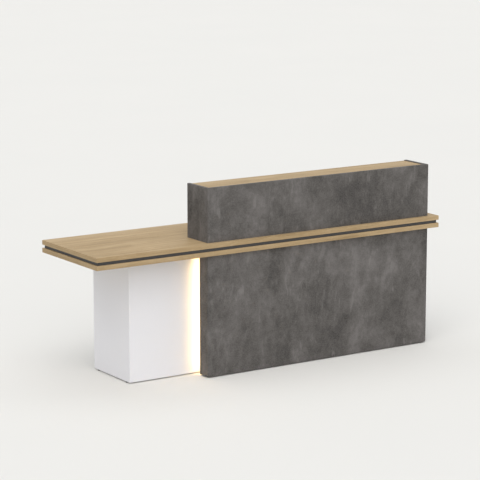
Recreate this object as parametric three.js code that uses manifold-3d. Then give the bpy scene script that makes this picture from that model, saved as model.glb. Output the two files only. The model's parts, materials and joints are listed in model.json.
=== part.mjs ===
import * as THREE from "three";
import { mergeVertices } from "three/addons/utils/BufferGeometryUtils.js";
import Module from "manifold-3d";

// Reception desk: an oak worktop with a recessed dark band, a raised counter
// for visitors on top of it, a concrete-look facade slab below it, and a white
// base with a storage pedestal on the staff side.
//
// Millimetres, +Z up. The origin is on the floor under the middle of the
// worktop. +X runs along the desk, to the right as a visitor sees it, -Y faces
// the visitor and +Y the member of staff.

// ---------------------------------------------------------------- dimensions
// Worktop: two boards with spacer strips between them.
const TOP_LENGTH = 2260;
const TOP_DEPTH = 600;
const TOP_HEIGHT = 750; // upper surface above the floor
const OAK = 25; // oak board
const BAND = 18; // height of the recessed band
const BAND_SETBACK = 10; // how far the band lies behind the boards' edges
const SPACER = 60; // width of a spacer strip

// Concrete-look and white boards.
const BOARD = 18;
const FOOT_HEIGHT = 6; // clear height under all upright panels

// Riser and facade share their ends and their front plane.
const FRONT_X0 = -430;
const FRONT_X1 = 1070;
const FRONT_Y = -272;
const RISER_DEPTH = 205;
const RISER_TOP = 1050;
const RISER_LID_DROP = 4; // the oak lid lies this far below the panels' edges
const FACADE_DEPTH = 82;
const MIDDLE_X = 320; // divider of the riser

// White base.
const BASE_X0 = -847;
const BASE_X1 = 1052;
const BASE_Y0 = -142;
const BASE_Y1 = 243;
const PED_X1 = -379; // outer face of the pedestal's partition
const PLINTH = 60; // height of the plinth, to the pedestal's bottom
const SHELF_Z = 517; // underside of the fixed shelf
const FACE_GAP = 3; // gap round the door and the drawer front
const CARCASS_Y1 = 223; // rear edge of the pedestal's horizontal boards

// Drawer.
const TRAY_SIDE_GAP = 13; // room for a runner at each side
const SHEET = 1.5; // sheet steel
const TRAY_Y0 = -85;
const TRAY_Z0 = 548;
const TRAY_Z1 = 638;
const RUNNER_LENGTH = 300;
const RUNNER_Z0 = 570;
const RUNNER_Z1 = 615;

// Bow handles.
const HANDLE_PITCH = 128;
const HANDLE_RISE = 24;
const HANDLE_R = 5;
const HANDLE_BEND = 10;

// Butt hinges.
const HINGE_HEIGHT = 50;
const HINGE_SHEET = 1.2;
const HINGE_LEAF = 22;
const KNUCKLE_R = 3.2;
const PIN_R = 1.6;
const PIN_BORE_R = 1.7;
const HINGE_LOWER_Z = 120;
const HINGE_UPPER_Z = 418;

// Light strip on the back of the facade.
const LED_X0 = -420;
const LED_WIDTH = 17;
const LED_DEPTH = 8;
const LED_WALL = 1.2;
const LED_Z0 = 20;
const LED_Z1 = 650;

// Driver of the light strip, on the staff face of the modesty panel.
const DRIVER_X0 = -330;
const DRIVER_X1 = -170;
const DRIVER_DEPTH = 28;
const DRIVER_Z = 630;
const DRIVER_HEIGHT = 42;
const ROCKER_X = -295;
const ROCKER_TILT = 8; // degrees either side of level
const LEAD_R = 1.5;
const LEAD_HOLE_X = -362;
const LEAD_HOLE_R = 5;

// Cable outlet.
const GROMMET_X = 820;
const GROMMET_Y = 185;
const GROMMET_R = 30; // hole through both boards

// Levelling feet.
const PAD_R = 8.5;
const STEM_R = 3;
const STEM_HOLE_R = 3.4;
const STEM_LENGTH = 30;

// Angle brackets.
const ANGLE_LEG = 25;
const ANGLE_SHEET = 2;
const ANGLE_WIDTH = 40;

// ------------------------------------------------------------ derived levels
const LX = TOP_LENGTH / 2;
const LY = TOP_DEPTH / 2;
const UPPER_Z0 = TOP_HEIGHT - OAK;
const LOWER_Z1 = UPPER_Z0 - BAND;
const LOWER_Z0 = LOWER_Z1 - OAK;
const FACADE_Y1 = FRONT_Y + FACADE_DEPTH;
const RISER_Y1 = FRONT_Y + RISER_DEPTH;
const LID_Z1 = RISER_TOP - RISER_LID_DROP;
const LID_Z0 = LID_Z1 - OAK;
const PED_IN_X0 = BASE_X0 + BOARD;
const PED_IN_X1 = PED_X1 - BOARD;
const FACE_Y0 = BASE_Y1 - BOARD;
const MODESTY_Y1 = BASE_Y0 + BOARD;

// ------------------------------------------------------------------ materials
const finish = (color, roughness, metalness = 0) =>
  new THREE.MeshStandardMaterial({ color, roughness, metalness });
const oak = finish(0xc3a377, 0.55);
const concrete = finish(0x5e5a55, 0.75);
const white = finish(0xe6e5e2, 0.45);
const anthracite = finish(0x403f3e, 0.6);
const rawBoard = finish(0xb08d62, 0.8);
const steel = finish(0xb8babc, 0.35, 1);
const greySteel = finish(0x8f9294, 0.5, 0.6);
const aluminium = finish(0xc9cacb, 0.4, 1);
const opal = finish(0xfff1d6, 0.5);
const tape = finish(0xf4efe4, 0.6);
const blackPlastic = finish(0x1d1d1e, 0.5);
const whitePlastic = finish(0xdedede, 0.4);

// --------------------------------------------------------------- making solids
const wasm = await Module();
wasm.setup();

// A closed three.js geometry as a solid that can be cut and joined.
function solid(geometry) {
  const bare = geometry.clone();
  bare.deleteAttribute("normal");
  bare.deleteAttribute("uv");
  const merged = mergeVertices(bare, 1e-4);
  return new wasm.Manifold(
    new wasm.Mesh({
      numProp: 3,
      vertProperties: new Float32Array(merged.attributes.position.array),
      triVerts: new Uint32Array(merged.index.array),
    }),
  );
}

function geometryOf(made) {
  const m = made.getMesh();
  const g = new THREE.BufferGeometry();
  g.setAttribute("position", new THREE.BufferAttribute(new Float32Array(m.vertProperties), 3));
  g.setIndex(new THREE.BufferAttribute(new Uint32Array(m.triVerts), 1));
  g.computeVertexNormals();
  return g;
}

const span = (a, b) => [b - a, (a + b) / 2];

function block([x0, x1], [y0, y1], [z0, z1]) {
  const [sx, cx] = span(x0, x1);
  const [sy, cy] = span(y0, y1);
  const [sz, cz] = span(z0, z1);
  return new THREE.BoxGeometry(sx, sy, sz).translate(cx, cy, cz);
}

// A round bar along X, Y or Z through the point given, from a to b on that axis.
function bar(axis, r, [a, b], at, segments = 20) {
  const [length, middle] = span(a, b);
  const g = new THREE.CylinderGeometry(r, r, length, segments);
  if (axis === "z") g.rotateX(Math.PI / 2).translate(at[0], at[1], middle);
  if (axis === "x") g.rotateZ(Math.PI / 2).translate(middle, at[0], at[1]);
  if (axis === "y") g.translate(at[0], middle, at[1]);
  return g;
}

// A section given as [x, z] points, run along Y from y0 to y1.
function sectionAlongY(points, [y0, y1]) {
  const shape = new THREE.Shape(points.map(([x, z]) => new THREE.Vector2(x, z)));
  return new THREE.ExtrudeGeometry(shape, { depth: y1 - y0, bevelEnabled: false })
    .rotateX(Math.PI / 2)
    .translate(0, y1, 0);
}

// A section given as [x, y] points, run along Z from z0 to z1.
function sectionAlongZ(points, [z0, z1]) {
  const shape = new THREE.Shape(points.map(([x, y]) => new THREE.Vector2(x, y)));
  return new THREE.ExtrudeGeometry(shape, { depth: z1 - z0, bevelEnabled: false })
    .translate(0, 0, z0);
}

const desk = new THREE.Group();
desk.name = "reception_desk";

function group(name) {
  const g = new THREE.Group();
  g.name = name;
  desk.add(g);
  return g;
}

function piece(parent, name, geometry, material) {
  const mesh = new THREE.Mesh(geometry, material);
  mesh.name = name;
  parent.add(mesh);
  return mesh;
}

// A plain board, placed by its own position.
function board(parent, name, [x0, x1], [y0, y1], [z0, z1], material) {
  const [sx, cx] = span(x0, x1);
  const [sy, cy] = span(y0, y1);
  const [sz, cz] = span(z0, z1);
  const mesh = piece(parent, name, new THREE.BoxGeometry(sx, sy, sz), material);
  mesh.position.set(cx, cy, cz);
  return mesh;
}

// A board with round holes for the stems of its levelling feet.
function footedBoard(parent, name, xs, ys, zs, material, feet) {
  let made = solid(block(xs, ys, zs));
  for (const [x, y] of feet)
    made = made.subtract(solid(bar("z", STEM_HOLE_R, [-1, FOOT_HEIGHT + STEM_LENGTH + 1], [x, y])));
  return piece(parent, name, geometryOf(made), material);
}

// -------------------------------------------------------------------- worktop
const worktop = group("worktop");
const outlet = solid(bar("z", GROMMET_R, [LOWER_Z0 - 5, TOP_HEIGHT + 5], [GROMMET_X, GROMMET_Y], 40));
piece(worktop, "worktop_upper_board",
  geometryOf(solid(block([-LX, LX], [-LY, LY], [UPPER_Z0, TOP_HEIGHT])).subtract(outlet)), oak);
piece(worktop, "worktop_lower_board",
  geometryOf(solid(block([-LX, LX], [-LY, LY], [LOWER_Z0, LOWER_Z1])).subtract(outlet)), oak);

const bandZ = [LOWER_Z1, UPPER_Z0];
const bx = LX - BAND_SETBACK;
const by = LY - BAND_SETBACK;
const inY = [-by + SPACER, by - SPACER];
board(worktop, "worktop_spacer_front", [-bx, bx], [-by, -by + SPACER], bandZ, anthracite);
board(worktop, "worktop_spacer_back", [-bx, bx], [by - SPACER, by], bandZ, anthracite);
board(worktop, "worktop_spacer_left", [-bx, -bx + SPACER], inY, bandZ, anthracite);
board(worktop, "worktop_spacer_right", [bx - SPACER, bx], inY, bandZ, anthracite);
board(worktop, "worktop_spacer_middle_left", [FRONT_X0 - SPACER / 2, FRONT_X0 + SPACER / 2], inY, bandZ, rawBoard);
board(worktop, "worktop_spacer_middle_right", [MIDDLE_X - SPACER / 2, MIDDLE_X + SPACER / 2], inY, bandZ, rawBoard);

// ---------------------------------------------------------------------- riser
const riser = group("riser");
const riserZ = [TOP_HEIGHT, RISER_TOP];
const behindFront = FRONT_Y + BOARD;
board(riser, "riser_front_panel", [FRONT_X0, FRONT_X1], [FRONT_Y, behindFront], riserZ, concrete);
board(riser, "riser_left_end", [FRONT_X0, FRONT_X0 + BOARD], [behindFront, RISER_Y1], riserZ, concrete);
board(riser, "riser_right_end", [FRONT_X1 - BOARD, FRONT_X1], [behindFront, RISER_Y1], riserZ, concrete);
board(riser, "riser_top", [FRONT_X0 + BOARD, FRONT_X1 - BOARD], [behindFront, RISER_Y1], [LID_Z0, LID_Z1], oak);
board(riser, "riser_divider", [MIDDLE_X - BOARD / 2, MIDDLE_X + BOARD / 2],
  [behindFront, RISER_Y1 - 8], [TOP_HEIGHT, LID_Z0], concrete);

// An angle bracket in the corner at x, z: one leg runs towards +X or -X, the other up or down.
function angle(parent, name, x, z, sideX, sideZ, y0) {
  const leg = (a, length, side) => (side > 0 ? [a, a + length] : [a - length, a]);
  let made = solid(block(leg(x, ANGLE_LEG, sideX), [y0, y0 + ANGLE_WIDTH], leg(z, ANGLE_SHEET, sideZ)))
    .add(solid(block(leg(x, ANGLE_SHEET, sideX), [y0, y0 + ANGLE_WIDTH], leg(z, ANGLE_LEG, sideZ))));
  for (const y of [y0 + 10, y0 + ANGLE_WIDTH - 10]) {
    made = made.subtract(solid(bar("z", 2.2, [z - 5, z + 5], [x + sideX * 15, y], 12)));
    made = made.subtract(solid(bar("x", 2.2, [x - 5, x + 5], [y, z + sideZ * 15], 12)));
  }
  piece(parent, name, geometryOf(made), steel);
}
angle(riser, "riser_bracket_left", FRONT_X0 + BOARD, TOP_HEIGHT, 1, 1, -180);
angle(riser, "riser_bracket_right", FRONT_X1 - BOARD, TOP_HEIGHT, -1, 1, -180);

// --------------------------------------------------------------------- facade
const facade = group("facade");
const uprightZ = [FOOT_HEIGHT, LOWER_Z0];
const facadeInX = [FRONT_X0 + BOARD, FRONT_X1 - BOARD];
const facadeInY = [behindFront, FACADE_Y1 - BOARD];
const facadeFootY = (facadeInY[0] + facadeInY[1]) / 2;
const facadeFeet = [[FRONT_X0 + 100, facadeFootY], [FRONT_X1 - 100, facadeFootY]];
board(facade, "facade_front_panel", [FRONT_X0, FRONT_X1], [FRONT_Y, behindFront], uprightZ, concrete);
board(facade, "facade_left_return", [FRONT_X0, FRONT_X0 + BOARD], [behindFront, FACADE_Y1], uprightZ, concrete);
board(facade, "facade_right_return", [FRONT_X1 - BOARD, FRONT_X1], [behindFront, FACADE_Y1], uprightZ, concrete);
board(facade, "facade_back_panel", facadeInX, [FACADE_Y1 - BOARD, FACADE_Y1], uprightZ, concrete);
board(facade, "facade_top_rail", facadeInX, facadeInY, [LOWER_Z0 - BOARD, LOWER_Z0], rawBoard);
footedBoard(facade, "facade_bottom_rail", facadeInX, facadeInY, [FOOT_HEIGHT, FOOT_HEIGHT + BOARD], rawBoard, facadeFeet);
board(facade, "facade_batten_left", [-340, -300], [FACADE_Y1, BASE_Y0], [60, 640], white);
board(facade, "facade_batten_right", [940, 980], [FACADE_Y1, BASE_Y0], [60, 640], white);

// ----------------------------------------------------------------------- base
const base = group("base");
const leftX = BASE_X0 + BOARD / 2;
const partitionX = PED_X1 - BOARD / 2;
const rightX = BASE_X1 - BOARD / 2;
const leftFeet = [[leftX, BASE_Y0 + 42], [leftX, BASE_Y1 - 38]];
const partitionFeet = [[partitionX, BASE_Y1 - 38]];
const rightFeet = [[rightX, BASE_Y0 + 42], [rightX, BASE_Y1 - 38]];
footedBoard(base, "left_end_panel", [BASE_X0, PED_IN_X0], [BASE_Y0, BASE_Y1], uprightZ, white, leftFeet);
footedBoard(base, "right_end_panel", [BASE_X1 - BOARD, BASE_X1], [BASE_Y0, BASE_Y1], uprightZ, white, rightFeet);
footedBoard(base, "pedestal_partition", [PED_IN_X1, PED_X1], [MODESTY_Y1, BASE_Y1], uprightZ, white, partitionFeet);
piece(base, "modesty_panel",
  geometryOf(
    solid(block([PED_IN_X0, BASE_X1 - BOARD], [BASE_Y0, MODESTY_Y1], uprightZ))
      .subtract(solid(bar("y", LEAD_HOLE_R, [BASE_Y0 - 5, MODESTY_Y1 + 5], [LEAD_HOLE_X, DRIVER_Z], 16))),
  ), white);
const pedX = [PED_IN_X0, PED_IN_X1];
const pedY = [MODESTY_Y1, CARCASS_Y1];
board(base, "pedestal_top", pedX, pedY, [LOWER_Z0 - BOARD, LOWER_Z0], white);
board(base, "pedestal_fixed_shelf", pedX, pedY, [SHELF_Z, SHELF_Z + BOARD], white);
board(base, "pedestal_bottom", pedX, pedY, [PLINTH, PLINTH + BOARD], white);
board(base, "pedestal_plinth", pedX, [CARCASS_Y1 - 38, CARCASS_Y1 - 38 + BOARD], [FOOT_HEIGHT, PLINTH], white);
angle(base, "right_end_bracket", BASE_X1 - BOARD, LOWER_Z0, -1, -1, 100);

// ----------------------------------------------------------------------- feet
const feet = group("feet");
function foot(name, [x, y]) {
  const profile = [
    [0, 0], [PAD_R - 1, 0], [PAD_R, 1], [PAD_R, 3], [PAD_R - 1.5, 4],
    [PAD_R - 1.5, FOOT_HEIGHT], [STEM_R, FOOT_HEIGHT], [STEM_R, FOOT_HEIGHT + STEM_LENGTH - 1],
    [STEM_R - 1, FOOT_HEIGHT + STEM_LENGTH], [0, FOOT_HEIGHT + STEM_LENGTH],
  ].map(([r, z]) => new THREE.Vector2(r, z));
  const mesh = piece(feet, name, new THREE.LatheGeometry(profile, 20).rotateX(Math.PI / 2), blackPlastic);
  mesh.position.set(x, y, 0);
}
foot("foot_left_front", leftFeet[0]);
foot("foot_left_back", leftFeet[1]);
foot("foot_partition_back", partitionFeet[0]);
foot("foot_right_front", rightFeet[0]);
foot("foot_right_back", rightFeet[1]);
foot("foot_facade_left", facadeFeet[0]);
foot("foot_facade_right", facadeFeet[1]);

// -------------------------------------------------------------------- handles
// A bow of round bar between two points, standing off along +Y.
function bow(parent, name, a, b, y0) {
  const along = new THREE.Vector3().subVectors(b, a).normalize();
  const out = new THREE.Vector3(0, 1, 0);
  const at = (p, s, rise) => p.clone().addScaledVector(along, s).addScaledVector(out, rise).setY(y0 + rise);
  const path = new THREE.CurvePath();
  path.add(new THREE.LineCurve3(at(a, 0, 0), at(a, 0, HANDLE_RISE - HANDLE_BEND)));
  path.add(new THREE.QuadraticBezierCurve3(at(a, 0, HANDLE_RISE - HANDLE_BEND), at(a, 0, HANDLE_RISE), at(a, HANDLE_BEND, HANDLE_RISE)));
  path.add(new THREE.LineCurve3(at(a, HANDLE_BEND, HANDLE_RISE), at(b, -HANDLE_BEND, HANDLE_RISE)));
  path.add(new THREE.QuadraticBezierCurve3(at(b, -HANDLE_BEND, HANDLE_RISE), at(b, 0, HANDLE_RISE), at(b, 0, HANDLE_RISE - HANDLE_BEND)));
  path.add(new THREE.LineCurve3(at(b, 0, HANDLE_RISE - HANDLE_BEND), at(b, 0, 0)));
  const ring = new THREE.Shape();
  ring.absarc(0, 0, HANDLE_R, 0, Math.PI * 2);
  const g = new THREE.ExtrudeGeometry(ring, { steps: 44, curveSegments: 6, extrudePath: path });
  piece(parent, name, g, steel);
}

// ----------------------------------------------------------------------- door
const door = group("door");
const faceX = [PED_IN_X0 + FACE_GAP, PED_IN_X1 - FACE_GAP];
board(door, "door_panel", faceX, [FACE_Y0, BASE_Y1], [PLINTH + 4, SHELF_Z + 7], white);
bow(door, "door_handle",
  new THREE.Vector3(PED_IN_X1 - 43, 0, 330), new THREE.Vector3(PED_IN_X1 - 43, 0, 330 + HANDLE_PITCH), BASE_Y1);

// A butt hinge in the gap at the door's left edge: the fixed leaf holds the
// riveted pin and the outer knuckles, the door leaf holds the middle knuckle.
const HINGE_X = PED_IN_X0 + FACE_GAP / 2;
const HINGE_Y = BASE_Y1 + KNUCKLE_R + 0.3;
function hinge(which, z) {
  const end = 15; // height of an outer knuckle
  const slack = 0.3;
  const at = [HINGE_X, HINGE_Y];
  const top = z + HINGE_HEIGHT;
  const leafY = [BASE_Y1 - HINGE_LEAF, BASE_Y1];
  const fixedX = [PED_IN_X0, PED_IN_X0 + HINGE_SHEET];
  const doorX = [PED_IN_X0 + FACE_GAP - HINGE_SHEET, PED_IN_X0 + FACE_GAP];
  let fixed = solid(block(fixedX, leafY, [z, top]))
    .add(solid(bar("z", PIN_R, [z, top], at, 24)));
  for (const [a, b] of [[z, z + end], [top - end, top]])
    fixed = fixed
      .add(solid(bar("z", KNUCKLE_R, [a, b], at, 24)))
      .add(solid(block(fixedX, [BASE_Y1 - 5, HINGE_Y], [a, b])));
  const middle = [z + end + slack, top - end - slack];
  const leaf = solid(block(doorX, leafY, [z, top]))
    .add(solid(bar("z", KNUCKLE_R, middle, at, 24)))
    .add(solid(block(doorX, [BASE_Y1 - 5, HINGE_Y], middle)))
    .subtract(solid(bar("z", PIN_BORE_R, [z - 1, top + 1], at, 24)));
  piece(base, "door_hinge_" + which + "_fixed", geometryOf(fixed), steel);
  piece(door, "door_hinge_" + which + "_leaf", geometryOf(leaf), steel);
}
hinge("upper", HINGE_UPPER_Z);
hinge("lower", HINGE_LOWER_Z);

// --------------------------------------------------------------------- drawer
const drawer = group("drawer");
const drawerZ = [SHELF_Z + 10, LOWER_Z0 - FACE_GAP];
board(drawer, "drawer_front", faceX, [FACE_Y0, BASE_Y1], drawerZ, white);
const trayX = [PED_IN_X0 + TRAY_SIDE_GAP, PED_IN_X1 - TRAY_SIDE_GAP];
piece(drawer, "drawer_tray",
  geometryOf(
    solid(block(trayX, [TRAY_Y0, FACE_Y0], [TRAY_Z0, TRAY_Z1])).subtract(
      solid(block([trayX[0] + SHEET, trayX[1] - SHEET], [TRAY_Y0 + SHEET, FACE_Y0 - SHEET], [TRAY_Z0 + SHEET, TRAY_Z1 + 10])),
    ),
  ), greySteel);
const drawerMiddleX = (PED_IN_X0 + PED_IN_X1) / 2;
const drawerHandleZ = (drawerZ[0] + drawerZ[1]) / 2;
bow(drawer, "drawer_handle",
  new THREE.Vector3(drawerMiddleX - HANDLE_PITCH / 2, 0, drawerHandleZ),
  new THREE.Vector3(drawerMiddleX + HANDLE_PITCH / 2, 0, drawerHandleZ), BASE_Y1);

// Runners: a C channel on the carcass and a smaller one on the tray inside it.
function runner(side, wall, tray) {
  const s = Math.sign(tray - wall);
  const outerY = [TRAY_Y0 - 5, TRAY_Y0 - 5 + RUNNER_LENGTH];
  const innerY = [TRAY_Y0, TRAY_Y0 + RUNNER_LENGTH];
  const outer = [
    [wall, RUNNER_Z0], [wall + s * 10, RUNNER_Z0], [wall + s * 10, RUNNER_Z0 + SHEET],
    [wall + s * SHEET, RUNNER_Z0 + SHEET], [wall + s * SHEET, RUNNER_Z1 - SHEET],
    [wall + s * 10, RUNNER_Z1 - SHEET], [wall + s * 10, RUNNER_Z1], [wall, RUNNER_Z1],
  ];
  const a = RUNNER_Z0 + 4.5;
  const b = RUNNER_Z1 - 4.5;
  const inner = [
    [tray, a], [tray - s * 9.5, a], [tray - s * 9.5, a + SHEET], [tray - s * SHEET, a + SHEET],
    [tray - s * SHEET, b - SHEET], [tray - s * 9.5, b - SHEET], [tray - s * 9.5, b], [tray, b],
  ];
  piece(base, "drawer_runner_" + side + "_outer", sectionAlongY(outer, outerY), steel);
  piece(drawer, "drawer_runner_" + side + "_inner", sectionAlongY(inner, innerY), steel);
}
runner("left", PED_IN_X0, trayX[0]);
runner("right", PED_IN_X1, trayX[1]);

// ---------------------------------------------------------------------- light
const light = group("light");
const ledX1 = LED_X0 + LED_WIDTH;
const ledY1 = FACADE_Y1 + LED_DEPTH;
piece(light, "led_channel",
  sectionAlongZ([
    [LED_X0, FACADE_Y1], [ledX1, FACADE_Y1], [ledX1, ledY1], [ledX1 - LED_WALL, ledY1],
    [ledX1 - LED_WALL, FACADE_Y1 + LED_WALL], [LED_X0 + LED_WALL, FACADE_Y1 + LED_WALL],
    [LED_X0 + LED_WALL, ledY1], [LED_X0, ledY1],
  ], [LED_Z0, LED_Z1]), aluminium);
const ledMiddle = LED_X0 + LED_WIDTH / 2;
board(light, "led_strip", [ledMiddle - 5, ledMiddle + 5],
  [FACADE_Y1 + LED_WALL + 0.2, FACADE_Y1 + LED_WALL + 1.7], [LED_Z0 + 4, LED_Z1 - 4], tape);
board(light, "led_diffuser", [LED_X0 + LED_WALL + 0.3, ledX1 - LED_WALL - 0.3],
  [ledY1 - 2.2, ledY1 - 0.4], [LED_Z0 + 0.5, LED_Z1 - 0.5], opal);

// Driver: a plastic case on two ears, with a rocker switch on its face and a
// two-pin mains inlet in its right end.
const driverY1 = MODESTY_Y1 + DRIVER_DEPTH;
const driverMidY = MODESTY_Y1 + DRIVER_DEPTH / 2;
const driverZ = [DRIVER_Z - DRIVER_HEIGHT / 2, DRIVER_Z + DRIVER_HEIGHT / 2];
let driver = solid(block([DRIVER_X0, DRIVER_X1], [MODESTY_Y1, driverY1], driverZ))
  .add(solid(block([DRIVER_X0 - 12, DRIVER_X1 + 12], [MODESTY_Y1, MODESTY_Y1 + 2.5], [DRIVER_Z - 10, DRIVER_Z + 10])))
  .subtract(solid(block([ROCKER_X - 10.6, ROCKER_X + 10.6], [driverY1 - 11, driverY1 + 5], [DRIVER_Z - 7.4, DRIVER_Z + 7.4])))
  .subtract(solid(block([DRIVER_X1 - 14, DRIVER_X1 + 5], [driverMidY - 4.25, driverMidY + 4.25], [DRIVER_Z - 8.5, DRIVER_Z + 8.5])));
for (const x of [DRIVER_X0 - 6, DRIVER_X1 + 6])
  driver = driver.subtract(solid(bar("y", 2.2, [MODESTY_Y1 - 1, MODESTY_Y1 + 4], [x, DRIVER_Z], 12)));
for (const z of [DRIVER_Z - 4.3, DRIVER_Z + 4.3])
  driver = driver.add(solid(bar("x", 1.2, [DRIVER_X1 - 15, DRIVER_X1 - 6], [driverMidY, z], 12)));
piece(light, "led_driver", geometryOf(driver), blackPlastic);

const rocker = piece(light, "led_rocker",
  sectionAlongZ([[-4, -5], [4, -5], [9.4, 1.5], [9.4, 5.4], [0, 4.5], [-9.4, 5.4], [-9.4, 1.5]], [-7.1, 7.1]), whitePlastic);
rocker.position.set(ROCKER_X, driverY1 - 4, DRIVER_Z);
rocker.rotation.z = THREE.MathUtils.degToRad(ROCKER_TILT);

// Low-voltage lead: from the driver's left end through the modesty panel and
// into the upper end of the channel.
const leadY = FACADE_Y1 + 3.1;
const leadPath = new THREE.CatmullRomCurve3([
  [DRIVER_X0 - 0.3, driverMidY, DRIVER_Z],
  [DRIVER_X0 - 14, driverMidY, DRIVER_Z],
  [DRIVER_X0 - 27, driverMidY - 7, DRIVER_Z],
  [LEAD_HOLE_X, (BASE_Y0 + MODESTY_Y1) / 2, DRIVER_Z],
  [LEAD_HOLE_X - 4, BASE_Y0 - 11, DRIVER_Z + 6],
  [LEAD_HOLE_X - 18, BASE_Y0 - 26, DRIVER_Z + 25],
  [LEAD_HOLE_X - 34, BASE_Y0 - 36, DRIVER_Z + 37],
  [LEAD_HOLE_X - 45.5, leadY + 1.5, DRIVER_Z + 35],
  [ledMiddle, leadY, LED_Z1 + 5],
  [ledMiddle, leadY, LED_Z1 - 3.5],
].map((p) => new THREE.Vector3(...p)), false, "centripetal");
const leadSection = new THREE.Shape();
leadSection.absarc(0, 0, LEAD_R, 0, Math.PI * 2);
piece(light, "led_lead",
  new THREE.ExtrudeGeometry(leadSection, { steps: 40, curveSegments: 4, extrudePath: leadPath }), blackPlastic);

// --------------------------------------------------------------- cable outlet
const cables = group("cable_outlet");
const ringProfile = [
  [29.6, -24], [29.6, 0], [34, 0], [34, 1.5], [33, 2.5], [27.4, 2.5],
  [27.4, -0.8], [24.5, -0.8], [24.5, -3], [27, -5], [27, -24], [29.6, -24],
].map(([r, z]) => new THREE.Vector2(r, z));
const ring = piece(cables, "cable_grommet_ring",
  new THREE.LatheGeometry(ringProfile, 40).rotateX(Math.PI / 2), blackPlastic);
ring.position.set(GROMMET_X, GROMMET_Y, TOP_HEIGHT);
const capZ = [-0.7, 2.3];
const notch = solid(block([-9, 9], [14, 40], [capZ[0] - 2, capZ[1] + 2])).add(
  solid(bar("z", 9, [capZ[0] - 2, capZ[1] + 2], [0, 14], 24)));
const cap = piece(cables, "cable_grommet_cap",
  geometryOf(solid(bar("z", 27.1, capZ, [0, 0], 40)).subtract(notch)), blackPlastic);
cap.position.set(GROMMET_X, GROMMET_Y, TOP_HEIGHT);

export default desk;
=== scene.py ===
import json
import math

import bmesh
import bpy
from mathutils import Matrix, Vector


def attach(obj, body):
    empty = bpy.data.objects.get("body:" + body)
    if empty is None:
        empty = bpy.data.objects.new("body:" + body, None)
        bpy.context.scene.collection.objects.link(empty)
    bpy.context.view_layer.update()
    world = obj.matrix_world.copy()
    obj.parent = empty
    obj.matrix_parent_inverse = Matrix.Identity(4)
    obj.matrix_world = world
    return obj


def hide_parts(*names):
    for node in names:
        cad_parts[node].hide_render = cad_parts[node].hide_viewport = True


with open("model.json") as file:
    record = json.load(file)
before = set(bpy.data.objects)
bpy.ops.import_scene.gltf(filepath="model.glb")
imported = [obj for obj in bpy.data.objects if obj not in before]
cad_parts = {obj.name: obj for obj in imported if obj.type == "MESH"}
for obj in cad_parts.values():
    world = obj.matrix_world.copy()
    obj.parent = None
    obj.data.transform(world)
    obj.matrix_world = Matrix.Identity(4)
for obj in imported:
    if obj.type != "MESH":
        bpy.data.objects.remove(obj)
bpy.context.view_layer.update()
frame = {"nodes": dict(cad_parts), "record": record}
NODES = frame["nodes"]
SCENE = bpy.context.scene


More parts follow.
